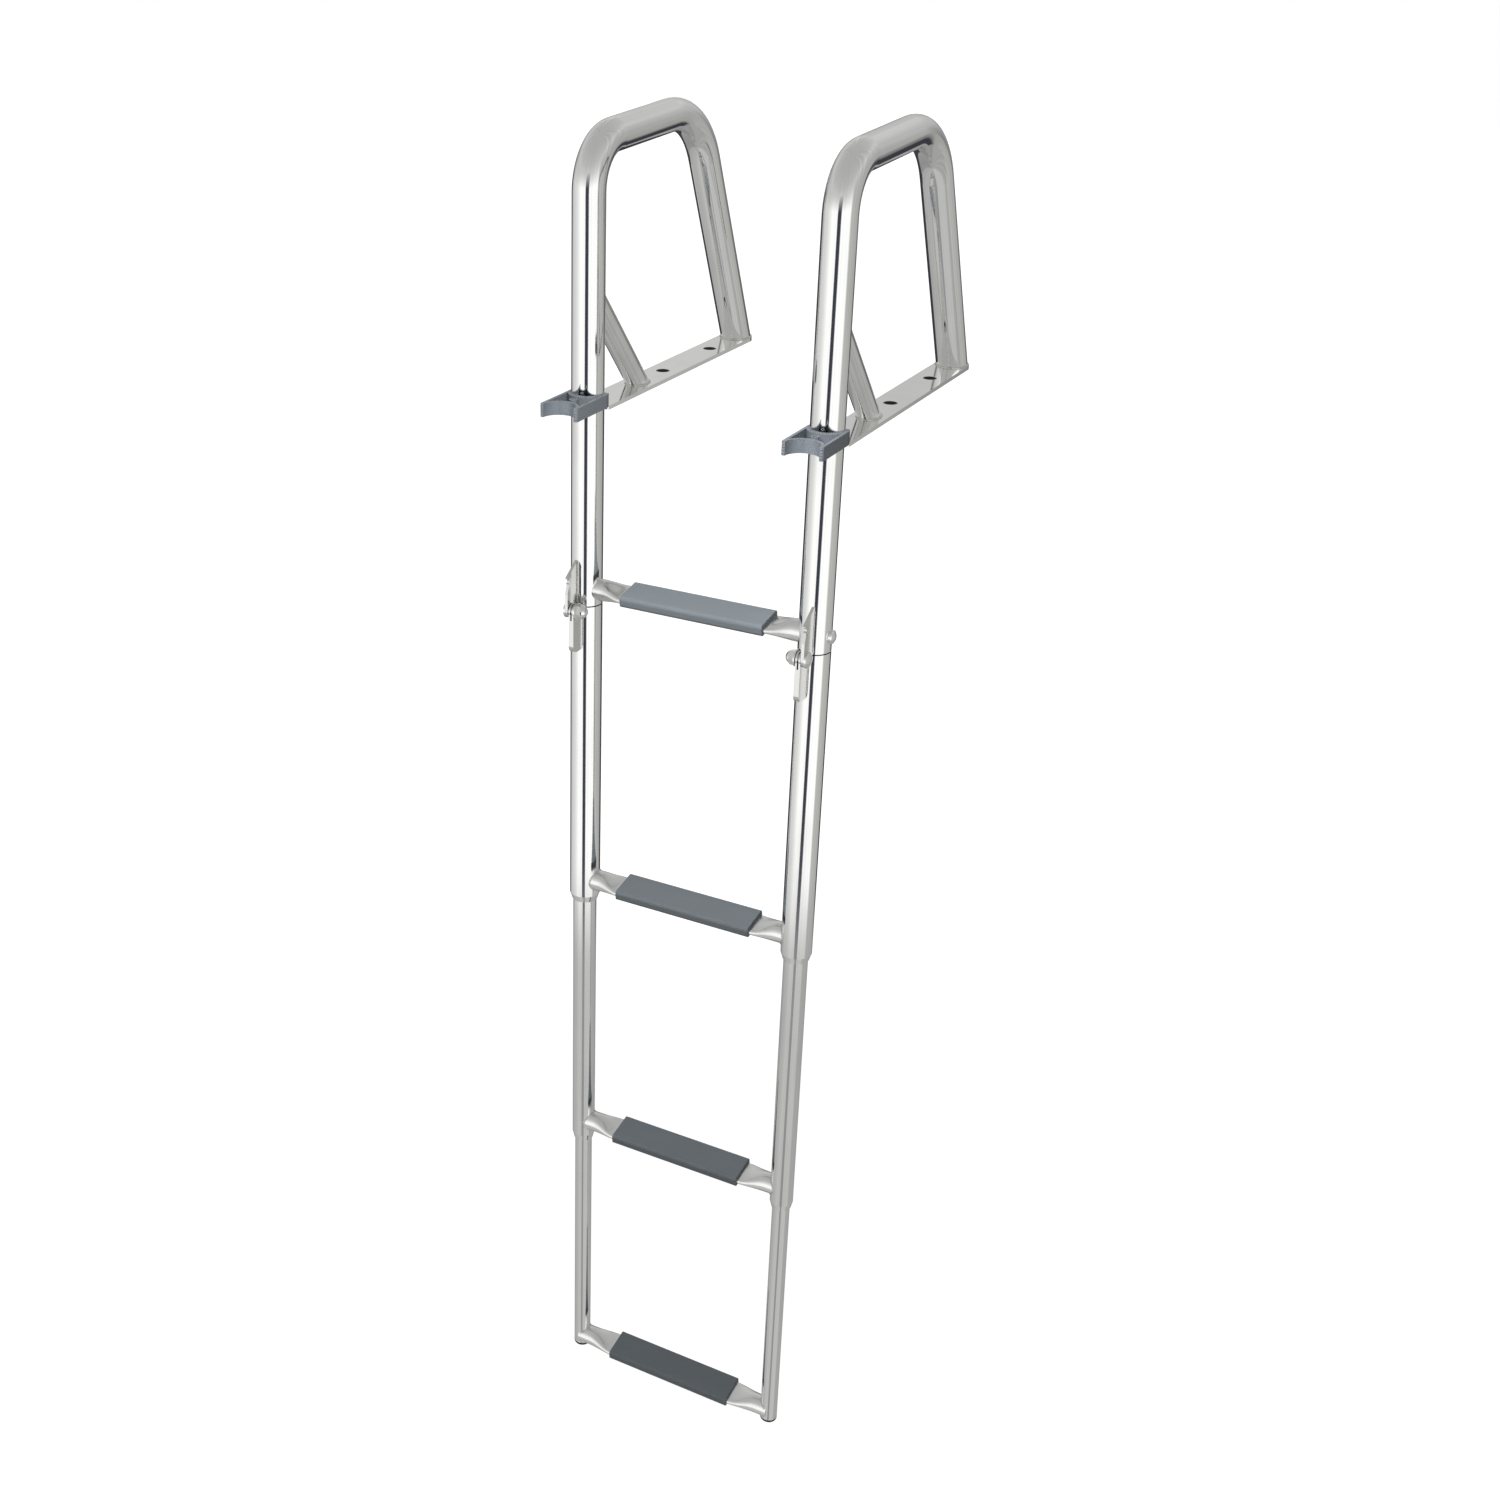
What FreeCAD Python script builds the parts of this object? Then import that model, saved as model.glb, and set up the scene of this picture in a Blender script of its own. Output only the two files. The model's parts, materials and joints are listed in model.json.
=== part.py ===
"""Folding telescopic swim ladder with grab handles.

Two bent stainless handle tubes stand on long mounting plates that are screwed
to a boat's platform or a dock. A fold hinge in front of each rail lets the
lower ladder swing forwards and up until its tubes lie in the plastic clips.
Below the hinge the rails are telescopes: three tube sizes that slide inside
each other, each with its own step.

Frame: the origin is on the underside of the left mounting plate, in the
middle of its two screw holes. +X runs across to the right plate, +Y runs
along the plates towards the boat or dock, and +Z is up. The rails stand
in front of the origin, at negative Y.
"""
import FreeCAD, Part
import os
from math import asin, cos, radians, sin, sqrt, tan

os.makedirs("parts", exist_ok=True)

V = FreeCAD.Vector
X_AXIS = V(1, 0, 0)
Z_AXIS = V(0, 0, 1)

# Overall layout, in millimetres
RAIL_SPACING = 246.0
HOLES_BEHIND_RAIL = 209.5
TOP_TUBE_HEIGHT = 247.2
JOINT_DROP = 196.0
JOINT_GAP = 1.2
FOLD_TUBE_LENGTH = 308.4
MIDDLE_REACH = 282.5
LOWER_REACH = 304.1
RUNG_ABOVE_JOINT = 15.5
RUNG_BELOW_SEAM = (5.5, 6.5)
RUNG_ABOVE_FOOT = 14.1

# Tubes, from the largest to the smallest
RAIL_OD = 32.0
MIDDLE_OD = 25.0
LOWER_OD = 19.0
TUBE_WALL = 1.5
STRUT_OD = 22.0
TELESCOPE_OVERLAP = 63.0

# Handle: front bend, a top tube that rises a little to the rear, a wider rear bend, slanting leg
FRONT_BEND_R = 46.0
TOP_TUBE_RISE = 2.4
REAR_BEND_R = 85.0
REAR_LEG_LEAN = 24.6
REAR_LEG_FOOT = 328.0
STRUT_RAIL_HEIGHT = 116.7
STRUT_FOOT = 100.9

# Mounting plates
PLATE_THICKNESS = 4.0
PLATE_WIDTH = 35.0
PLATE_START = 10.0
SCREW_SPACING = 108.0
SCREW_HOLE_D = 8.4
COUNTERSINK_D = 14.4

# Fold hinge
PIN_FORWARD = 28.0
PIN_D = 8.0
PIN_CLEARANCE = 0.05
CHEEK_OUT = 4.5
CHEEK_THICKNESS = 3.0
TONGUE_GAP = 0.5
TONGUE_WIDTH = 5.5
TONGUE_SHEET = 2.0
UPPER_EYE_R = 7.5
LOWER_EYE_R = 7.0
UPPER_BRACKET_HEIGHT = 48.0
UPPER_SLANT_DROP = 13.0
LOWER_BRACKET_LENGTH = 44.0
LOWER_FRONT = 34.5
LOWER_CORNER_R = 8.0
LATCH_NOTCH_R = 3.3
LATCH_NOTCH_ABOVE_PIN = 31.2
LATCH_SHOULDER = 3.0
LATCH_SHOULDER_DROP = 10.0
SEAM_CLEAR = 1.5

# Fasteners
PIN_HEAD_D = 16.0
PIN_HEAD_RIM = 2.0
PIN_HEAD_DOME = 2.5
NUT_GAP = 0.3
NUT_FLANGE_D = 17.0
NUT_FLANGE_HEIGHT = 1.5
NUT_ACROSS_FLATS = 13.0
NUT_HEX_HEIGHT = 5.0
NUT_DOME_HEIGHT = 5.0
RUNG_BOLT_D = 6.0
RUNG_BOLT_HEAD_D = 13.5
RUNG_BOLT_HEAD_RIM = 2.0
RUNG_BOLT_HEAD_DOME = 2.5
RUNG_BOLT_HOLE_GAP = 0.25
RUNG_BOLT_DEPTH = 12.0
RUNG_INSERT = 15.0

# Double clips
CLIP_HEIGHT = 13.0
CLIP_WALL = 4.0
CLIP_GRIP_GAP = 0.05
CLIP_CATCH_GAP = 0.3
CLIP_REAR_WRAP = 8.0
CLIP_POCKET_WALL = 3.0
CLIP_POCKET_FLOOR = 3.0
CLIP_BOSS_D = 8.0
CLIP_BOSS_HOLE_D = 4.0

# Collars at the lower end of the outer tubes
COLLAR_HEIGHTS = (30.0, 31.0)
COLLAR_CLEARANCE = 0.3
COLLAR_SPIGOT = 14.0
COLLAR_TAPER_HEIGHT = 7.5
COLLAR_LIP = 0.8
SPIGOT_GAP = 0.05

# Rungs: a round tube, pressed to a flat oval under the pad, and turned a little so that the step
# slopes down to the front. The oval keeps the round tube's girth.
RUNG_OD = 22.0
STEP_TILT = 9.0
RUNG_ROUND_END = 3.0
FLAT_WIDTH = 31.0
FLAT_EDGE_R = 3.0
FLAT_CROWN_SLOPE = 6.0
PRESS_STEPS = 6

# Tread pads
PAD_LENGTH = 152.0
PAD_WIDTH = 36.5
PAD_TOP = 7.0
PAD_BOTTOM = 5.0
PAD_EDGE_R = 4.0
PAD_GAP = 0.15
PAD_SLOT_WIDTH = 21.0

# Foot caps
FOOT_CAP_HEIGHT = 4.0
FOOT_CAP_SPIGOT = 14.0
FOOT_CAP_ROUND = 2.5

# Worked out from the sizes above, each piece from the end of the one before
RAIL_R = RAIL_OD / 2
FOLD_TUBE_END_DROP = JOINT_DROP + JOINT_GAP / 2 + FOLD_TUBE_LENGTH
UPPER_COLLAR_END_DROP = FOLD_TUBE_END_DROP + COLLAR_HEIGHTS[0]
MIDDLE_TUBE_END_DROP = UPPER_COLLAR_END_DROP + MIDDLE_REACH
LOWER_COLLAR_END_DROP = MIDDLE_TUBE_END_DROP + COLLAR_HEIGHTS[1]
FOOT_DROP = LOWER_COLLAR_END_DROP + LOWER_REACH
COLLAR_TOP_DROPS = (FOLD_TUBE_END_DROP, MIDDLE_TUBE_END_DROP)
RUNG_DROPS = (
    JOINT_DROP - RUNG_ABOVE_JOINT,
    FOLD_TUBE_END_DROP + RUNG_BELOW_SEAM[0],
    MIDDLE_TUBE_END_DROP + RUNG_BELOW_SEAM[1],
    FOOT_DROP - RUNG_ABOVE_FOOT,
)
SIDES = {"left": 0.0, "right": RAIL_SPACING}
PIN_Z = -JOINT_DROP
CLIP_SPACING = 2 * PIN_FORWARD
FOLD_TUBE_TOP = -JOINT_DROP - JOINT_GAP / 2
HANDLE_TUBE_END = -JOINT_DROP + JOINT_GAP / 2
TONGUE_OUT = CHEEK_OUT - CHEEK_THICKNESS - TONGUE_GAP
TONGUE_IN = TONGUE_OUT - TONGUE_WIDTH
NUT_SEAT = TONGUE_IN - NUT_GAP
NUT_END = NUT_SEAT - NUT_FLANGE_HEIGHT - NUT_HEX_HEIGHT


def save(name, shape):
    """Write one node and report its size."""
    clean = shape.removeSplitter()
    clean.exportStep("parts/" + name + ".step")
    print(name, "solids", len(clean.Solids), "volume", round(clean.Volume), "valid", clean.isValid())


def to_side(shape, side):
    """Move a shape drawn about a rail's axis to that rail."""
    return shape.translated(V(SIDES[side], -HOLES_BEHIND_RAIL, 0))


def rod(diameter, bottom, top):
    """A round bar along Z on the rail's axis."""
    return Part.makeCylinder(diameter / 2, top - bottom, V(0, 0, bottom), Z_AXIS)


def tube(diameter, bottom, top):
    """A round tube along Z on the rail's axis."""
    return rod(diameter, bottom, top).cut(rod(diameter - 2 * TUBE_WALL, bottom, top))


def side_profile(points):
    """A closed wire in the plane of one rail, from (forward-back, up) points and arcs.

    Each item is a point, or a pair of a middle and an end point for an arc.
    """
    edges = []
    start = points[0]
    for item in points[1:] + [points[0]]:
        if isinstance(item[0], tuple):
            middle, end = item
            arc = Part.Arc(V(0, *start), V(0, *middle), V(0, *end))
            edges.append(arc.toShape())
            start = end
        elif item != start:
            edges.append(Part.makeLine(V(0, *start), V(0, *item)))
            start = item
    return Part.Wire(edges)


def slab(profile, low_x, high_x):
    """A side profile pushed out between two X values."""
    solid = Part.Face(profile).extrude(V(high_x - low_x, 0, 0))
    return solid.translated(V(low_x, 0, 0))


def dome(base_d, height):
    """A dome with its flat side on the YZ plane, bulging towards +X."""
    radius = ((base_d / 2) ** 2 + height ** 2) / (2 * height)
    ball = Part.makeSphere(radius, V(height - radius, 0, 0))
    keep = Part.makeBox(height, base_d, base_d, V(0, -base_d / 2, -base_d / 2))
    return ball.common(keep)


def cross_bar(diameter, low_x, high_x, y, z):
    """A round bar along X."""
    return Part.makeCylinder(diameter / 2, high_x - low_x, V(low_x, y, z), X_AXIS)


def domed_bar(diameter, low_x, high_x, dome_height, z):
    """A round bar along X on the plane of the rails, with a dome on its +X end."""
    head = dome(diameter, dome_height).translated(V(high_x, 0, z))
    return cross_bar(diameter, low_x, high_x, 0, z).fuse(head)


def bend(start, centre, turn):
    """An arc in the plane of the rail, turning rearwards from start by an angle in radians."""
    arm = start - centre
    ends = []
    for angle in (turn / 2, turn):
        y = arm.y * cos(angle) + arm.z * sin(angle)
        z = arm.z * cos(angle) - arm.y * sin(angle)
        ends.append(centre + V(0, y, z))
    return Part.Arc(start, *ends).toShape(), ends[1]


def handle_path():
    """The centre line of the rail, the top bends and the slanting rear leg."""
    lean = radians(REAR_LEG_LEAN)
    rise = radians(TOP_TUBE_RISE)
    along_top = V(0, cos(rise), sin(rise))
    front_low = V(0, 0, TOP_TUBE_HEIGHT + FRONT_BEND_R * (tan(rise) - 1 / cos(rise)))
    front_arc, front_high = bend(front_low, front_low + V(0, FRONT_BEND_R, 0), radians(90) - rise)
    leg_run = REAR_LEG_FOOT - (TOP_TUBE_HEIGHT - PLATE_THICKNESS) * tan(lean)
    corner_y = leg_run / (1 + tan(rise) * tan(lean))
    corner = V(0, corner_y, TOP_TUBE_HEIGHT + corner_y * tan(rise))
    rear_turn = radians(90) - lean + rise
    rear_high = corner - along_top * REAR_BEND_R * tan(rear_turn / 2)
    rear_centre = rear_high + V(0, sin(rise), -cos(rise)) * REAR_BEND_R
    rear_arc, rear_low = bend(rear_high, rear_centre, rear_turn)
    foot = V(0, REAR_LEG_FOOT + RAIL_OD * tan(lean), PLATE_THICKNESS - RAIL_OD)
    return Part.Wire([
        Part.makeLine(V(0, 0, HANDLE_TUBE_END), front_low),
        front_arc,
        Part.makeLine(front_high, rear_high),
        rear_arc,
        Part.makeLine(rear_low, foot),
    ])


def below_plate_top():
    """Everything under the plate's upper face, behind the rail."""
    size = 2 * REAR_LEG_FOOT
    return Part.makeBox(size, size, RAIL_OD * 2, V(-size / 2, RAIL_R, PLATE_THICKNESS - RAIL_OD * 2))


def handle_tube():
    """Rail, grab handle and rear leg, bent from one tube."""
    start = V(0, 0, HANDLE_TUBE_END)
    outer = Part.Wire(Part.makeCircle(RAIL_R, start, Z_AXIS))
    inner = Part.Wire(Part.makeCircle(RAIL_R - TUBE_WALL, start, Z_AXIS))
    path = handle_path()
    bent = path.makePipe(Part.Face(outer)).cut(path.makePipe(Part.Face(inner)))
    hole_d = RUNG_BOLT_D + 2 * RUNG_BOLT_HOLE_GAP
    bolt_hole = cross_bar(hole_d, -RAIL_OD, RAIL_OD, 0, -RUNG_DROPS[0])
    return bent.cut(below_plate_top()).cut(bolt_hole)


def strut():
    """Slanting brace from the back of the rail to the plate."""
    top = V(0, 0, STRUT_RAIL_HEIGHT)
    foot = V(0, STRUT_FOOT, PLATE_THICKNESS)
    direction = foot - top
    length = direction.Length + STRUT_OD
    outer = Part.makeCylinder(STRUT_OD / 2, length, top, direction)
    inner = Part.makeCylinder(STRUT_OD / 2 - TUBE_WALL, length, top, direction)
    rail = rod(RAIL_OD, -RAIL_OD, 2 * STRUT_RAIL_HEIGHT)
    return outer.cut(inner).cut(rail).cut(below_plate_top())


def mounting_plate():
    """Flat bar with a saddle at the rail, a round rear end and two countersunk holes."""
    half = PLATE_WIDTH / 2
    length = REAR_LEG_FOOT - PLATE_START
    bar = Part.makeBox(PLATE_WIDTH, length, PLATE_THICKNESS, V(-half, PLATE_START, 0))
    end = Part.makeCylinder(half, PLATE_THICKNESS, V(0, REAR_LEG_FOOT, 0))
    plate = bar.fuse(end).cut(rod(RAIL_OD, -RAIL_OD, RAIL_OD))
    sink_depth = (COUNTERSINK_D - SCREW_HOLE_D) / 2
    for sign in (-1, 1):
        y = HOLES_BEHIND_RAIL + sign * SCREW_SPACING / 2
        hole = Part.makeCylinder(SCREW_HOLE_D / 2, PLATE_THICKNESS, V(0, y, 0))
        sink_base = V(0, y, PLATE_THICKNESS - sink_depth)
        sink = Part.makeCone(SCREW_HOLE_D / 2, COUNTERSINK_D / 2, sink_depth, sink_base)
        plate = plate.cut(hole).cut(sink)
    return plate


def double_clip():
    """Plastic block gripping the rail behind and catching the folded tube in front."""
    half = RAIL_R + CLIP_WALL
    base = PLATE_THICKNESS
    front = -CLIP_SPACING
    tip_r = CLIP_WALL / 2
    block = Part.makeBox(2 * half, CLIP_SPACING, CLIP_HEIGHT, V(-half, front, base))
    rear_ring = Part.makeCylinder(half, CLIP_HEIGHT, V(0, 0, base))
    rear_keep = Part.makeBox(2 * half, half + CLIP_REAR_WRAP, CLIP_HEIGHT, V(-half, -half, base))
    clip = block.fuse(rear_ring.common(rear_keep))
    grip_r = RAIL_R + CLIP_GRIP_GAP
    catch_r = RAIL_R + CLIP_CATCH_GAP
    clip = clip.cut(Part.makeCylinder(grip_r, CLIP_HEIGHT, V(0, 0, base)))
    clip = clip.cut(Part.makeCylinder(catch_r, CLIP_HEIGHT, V(0, front, base)))
    floor = base + CLIP_POCKET_FLOOR
    pocket_half = half - CLIP_POCKET_WALL
    pocket = Part.makeBox(2 * pocket_half, CLIP_SPACING, CLIP_HEIGHT, V(-pocket_half, front, floor))
    for y, radius in ((0, grip_r), (front, catch_r)):
        pocket = pocket.cut(Part.makeCylinder(radius + CLIP_POCKET_WALL, CLIP_HEIGHT, V(0, y, floor)))
    middle = V(0, front / 2, base)
    boss = Part.makeCylinder(CLIP_BOSS_D / 2, CLIP_HEIGHT, middle)
    boss_hole = Part.makeCylinder(CLIP_BOSS_HOLE_D / 2, CLIP_HEIGHT, middle)
    clip = clip.cut(pocket).fuse(boss).cut(boss_hole)
    tips = [e for e in clip.Edges if is_upright(e) and abs(e.Vertexes[0].Y - front) < 0.01]
    return clip.makeFillet(tip_r * 0.9, [e for e in tips if abs(abs(e.Vertexes[0].X) - half) < 0.01])


def is_upright(edge):
    """True for a straight edge along Z."""
    if len(edge.Vertexes) != 2:
        return False
    run = edge.Vertexes[1].Point - edge.Vertexes[0].Point
    return abs(run.x) < 1e-6 and abs(run.y) < 1e-6


def pin_hole(diameter):
    """A bar on the hinge axis, wide enough to bore through a bracket."""
    return cross_bar(diameter, -RAIL_OD, RAIL_OD, -PIN_FORWARD, PIN_Z)


def upper_hinge_bracket():
    """Cheek plate welded edge-on to the rail, with a slanted top, a latch notch and an eye."""
    top = PIN_Z + UPPER_BRACKET_HEIGHT
    front = -(PIN_FORWARD + UPPER_EYE_R)
    eye_back = -(PIN_FORWARD - UPPER_EYE_R)
    rail_end = HANDLE_TUBE_END + SEAM_CLEAR
    notch_z = PIN_Z + LATCH_NOTCH_ABOVE_PIN
    outline = side_profile([
        (0, top),
        (-RAIL_R, top),
        (front, top - UPPER_SLANT_DROP),
        (front, notch_z),
        (front + LATCH_SHOULDER, notch_z - LATCH_NOTCH_R),
        (front, notch_z - LATCH_NOTCH_R - LATCH_SHOULDER_DROP),
        (front, PIN_Z),
        ((-PIN_FORWARD, PIN_Z - UPPER_EYE_R), (eye_back, PIN_Z)),
        (eye_back, rail_end),
        (0, rail_end),
    ])
    cheek = slab(outline, CHEEK_OUT - CHEEK_THICKNESS, CHEEK_OUT)
    notch = cross_bar(2 * LATCH_NOTCH_R, -RAIL_OD, RAIL_OD, front, notch_z)
    rail = rod(RAIL_OD, -2 * JOINT_DROP, 0)
    return cheek.cut(notch).cut(rail).cut(pin_hole(PIN_D))


def lower_hinge_bracket():
    """Closed-front tongue welded to the folding tube, beside the cheek's inner face."""
    low = PIN_Z - LOWER_BRACKET_LENGTH
    front = -LOWER_FRONT
    eye_back = -(PIN_FORWARD - LOWER_EYE_R)
    front_run = LOWER_FRONT - PIN_FORWARD
    drop = sqrt(LOWER_EYE_R ** 2 - front_run ** 2)
    eye_turn = radians(90) - (radians(90) - asin(front_run / LOWER_EYE_R)) / 2
    eye_middle = (-PIN_FORWARD - LOWER_EYE_R * sin(eye_turn), PIN_Z - LOWER_EYE_R * cos(eye_turn))
    corner = LOWER_CORNER_R
    corner_mid = (front + corner * (1 - cos(radians(45))), low + corner * (1 - sin(radians(45))))
    tube_top = FOLD_TUBE_TOP - SEAM_CLEAR
    outline = side_profile([
        (0, tube_top),
        (eye_back, tube_top),
        (eye_back, PIN_Z),
        ((-PIN_FORWARD, PIN_Z + LOWER_EYE_R), (-PIN_FORWARD - LOWER_EYE_R, PIN_Z)),
        (eye_middle, (front, PIN_Z - drop)),
        (front, low + corner),
        (corner_mid, (front + corner, low)),
        (0, low),
    ])
    tongue = slab(outline, TONGUE_IN, TONGUE_OUT)
    hollow_width = TONGUE_WIDTH - 2 * TONGUE_SHEET
    hollow_x = TONGUE_IN + TONGUE_SHEET
    web_top = PIN_Z - LOWER_EYE_R - TONGUE_SHEET
    hollow_low = Part.makeBox(
        hollow_width, LOWER_FRONT, 3 * RAIL_OD, V(hollow_x, front + TONGUE_SHEET, low - RAIL_OD))
    hollow_high = Part.makeBox(hollow_width, RAIL_OD, RAIL_OD, V(hollow_x, front - RAIL_R, web_top))
    rail = rod(RAIL_OD, -3 * JOINT_DROP, 0)
    hole_d = PIN_D + 2 * PIN_CLEARANCE
    return tongue.cut(hollow_low).cut(hollow_high).cut(rail).cut(pin_hole(hole_d))


def hinge_bolt():
    """Bolt through the cheek and the tongue, its domed head on the outer side."""
    shank = cross_bar(PIN_D, NUT_END, CHEEK_OUT, 0, PIN_Z)
    head = domed_bar(PIN_HEAD_D, CHEEK_OUT, CHEEK_OUT + PIN_HEAD_RIM, PIN_HEAD_DOME, PIN_Z)
    return shank.fuse(head).translated(V(0, -PIN_FORWARD, 0))


def hinge_nut():
    """Flanged dome nut on the hinge bolt, towards the other rail."""
    circle_r = NUT_ACROSS_FLATS / 2 / cos(radians(30))
    corners = [radians(60 * i) for i in range(7)]
    points = [V(NUT_END, circle_r * cos(a), PIN_Z + circle_r * sin(a)) for a in corners]
    hexagon = Part.Face(Part.makePolygon(points)).extrude(V(NUT_HEX_HEIGHT, 0, 0))
    flange = cross_bar(NUT_FLANGE_D, NUT_SEAT - NUT_FLANGE_HEIGHT, NUT_SEAT, 0, PIN_Z)
    cap = dome(NUT_ACROSS_FLATS, NUT_DOME_HEIGHT).mirror(V(0, 0, 0), X_AXIS)
    nut = hexagon.fuse([flange, cap.translated(V(NUT_END, 0, PIN_Z))])
    return nut.cut(cross_bar(PIN_D, NUT_END, NUT_SEAT, 0, PIN_Z)).translated(V(0, -PIN_FORWARD, 0))


def rung_bolt():
    """Domed bolt from the outside of the rail into the first rung."""
    z = -RUNG_DROPS[0]
    shank = cross_bar(RUNG_BOLT_D, -RAIL_R - RUNG_BOLT_DEPTH, RAIL_R, 0, z)
    head = domed_bar(RUNG_BOLT_HEAD_D, RAIL_R / 2, RAIL_R + RUNG_BOLT_HEAD_RIM, RUNG_BOLT_HEAD_DOME, z)
    saddle = rod(RAIL_OD, z - RAIL_OD, z + RAIL_OD)
    return shank.fuse(head.cut(saddle))


def collar(outer_d, inner_d, top_drop, height):
    """Ring with a tapered lower end and a spigot pressed up into the outer tube."""
    bore = inner_d / 2 + COLLAR_CLEARANCE
    outer = outer_d / 2
    spigot = outer - TUBE_WALL - SPIGOT_GAP
    bottom = height
    points = [
        (bore, COLLAR_SPIGOT),
        (spigot, COLLAR_SPIGOT),
        (spigot, 0),
        (outer, 0),
        (outer, -bottom + COLLAR_TAPER_HEIGHT),
        (bore + COLLAR_LIP, -bottom),
        (bore, -bottom),
    ]
    wire = Part.makePolygon([V(r, 0, z) for r, z in points + points[:1]])
    ring = Part.Face(wire).revolve(V(0, 0, 0), Z_AXIS, 360)
    return ring.translated(V(0, 0, -top_drop))


def round_points(inset):
    """Top corner, top, bottom corner, bottom and side of the round tube, as (y, z) pairs."""
    radius = RUNG_OD / 2 - inset
    corner = radius * sin(radians(45))
    return [(corner, corner), (0, radius), (corner, -corner), (0, -radius), (radius, 0)]


def pressed_points(inset):
    """The same five points where the tube is pressed to its flat oval."""
    slope = radians(FLAT_CROWN_SLOPE)
    edge_y = FLAT_WIDTH / 2 - FLAT_EDGE_R
    radius = FLAT_EDGE_R - inset
    corner_y = edge_y + radius * sin(slope)
    corner_z = radius * cos(slope)
    crown = FLAT_EDGE_R * cos(slope) + (edge_y + FLAT_EDGE_R * sin(slope)) * tan(slope / 2) - inset
    return [(corner_y, corner_z), (0, crown), (corner_y, -corner_z), (0, -crown), (edge_y + radius, 0)]


def rung_section(x, pressed, inset):
    """A closed wire across the rung; pressed runs from 0 for round to 1 for the flat oval."""
    pairs = zip(round_points(inset), pressed_points(inset))
    mixed = [[a + (b - a) * pressed for a, b in zip(plain, flat)] for plain, flat in pairs]
    high, top, low, bottom, side = mixed
    corners = [V(x, -high[0], high[1]), V(x, *high), V(x, *low), V(x, -low[0], low[1])]
    middles = [V(x, *top), V(x, *side), V(x, *bottom), V(x, -side[0], side[1])]
    arcs = [Part.Arc(corners[i], middles[i], corners[(i + 1) % 4]).toShape() for i in range(4)]
    return Part.Wire(arcs)


def rung_half(rail_od, inset):
    """Half of a rung's skin or core: round at the rail, pressed under the pad."""
    pad_end = (RAIL_SPACING - PAD_LENGTH) / 2
    press_start = rail_od / 2 + RUNG_ROUND_END
    run = pad_end - press_start
    shares = [i / PRESS_STEPS for i in range(PRESS_STEPS + 1)]
    bends = [rung_section(press_start + run * s, s * s * (3 - 2 * s), inset) for s in shares]
    round_end = Part.makeLoft([rung_section(0, 0, inset), bends[0]], True, True)
    pressing = Part.makeLoft(bends, True, False)
    centre = Part.makeLoft([bends[-1], rung_section(RAIL_SPACING / 2, 1, inset)], True, True)
    return round_end.fuse([pressing, centre])


def rung(index, rail_od, insert):
    """A rung between the rails, with an optional solid insert at each end."""
    skin = rung_half(rail_od, 0)
    core = rung_half(rail_od, TUBE_WALL)
    size = 2 * RUNG_OD
    if insert:
        corner = V(rail_od / 2 + insert, -size / 2, -size / 2)
        core = core.common(Part.makeBox(RAIL_SPACING, size, size, corner))
    half = skin.cut(core).rotated(V(0, 0, 0), X_AXIS, STEP_TILT)
    half = half.cut(rod(rail_od, -size, size))
    if insert:
        half = half.cut(cross_bar(RUNG_BOLT_D, 0, rail_od / 2 + RUNG_BOLT_DEPTH, 0, 0))
    whole = half.fuse(half.mirror(V(RAIL_SPACING / 2, 0, 0), X_AXIS))
    return whole.translated(V(0, -HOLES_BEHIND_RAIL, -RUNG_DROPS[index]))


def tread_pad(index):
    """Plastic tread with a C section that snaps over the rims of the rung."""
    low_x = (RAIL_SPACING - PAD_LENGTH) / 2
    half_w = PAD_WIDTH / 2
    body = Part.makeBox(PAD_LENGTH, PAD_WIDTH, PAD_TOP + PAD_BOTTOM, V(low_x, -half_w, -PAD_BOTTOM))
    long_edges = [e for e in body.Edges if abs(e.Length - PAD_LENGTH) < 0.01]
    body = body.makeFillet(PAD_EDGE_R, long_edges)
    cavity = Part.Face(rung_section(low_x, 1, -PAD_GAP)).extrude(V(PAD_LENGTH, 0, 0))
    slot = Part.makeBox(PAD_LENGTH, PAD_SLOT_WIDTH, PAD_BOTTOM, V(low_x, -PAD_SLOT_WIDTH / 2, -PAD_BOTTOM))
    pad = body.cut(cavity).cut(slot).rotated(V(0, 0, 0), X_AXIS, STEP_TILT)
    return pad.translated(V(0, -HOLES_BEHIND_RAIL, -RUNG_DROPS[index]))


def foot_cap():
    """Moulded end cap, pressed into the lowest tube."""
    outer = LOWER_OD / 2
    flange = Part.makeCylinder(outer, FOOT_CAP_HEIGHT, V(0, 0, -FOOT_DROP))
    rim = [e for e in flange.Edges if e.BoundBox.ZMax < -FOOT_DROP + 0.01]
    flange = flange.makeFillet(FOOT_CAP_ROUND, rim)
    spigot_r = outer - TUBE_WALL - SPIGOT_GAP
    spigot = Part.makeCylinder(spigot_r, FOOT_CAP_SPIGOT, V(0, 0, -FOOT_DROP + FOOT_CAP_HEIGHT))
    return flange.fuse(spigot)


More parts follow.
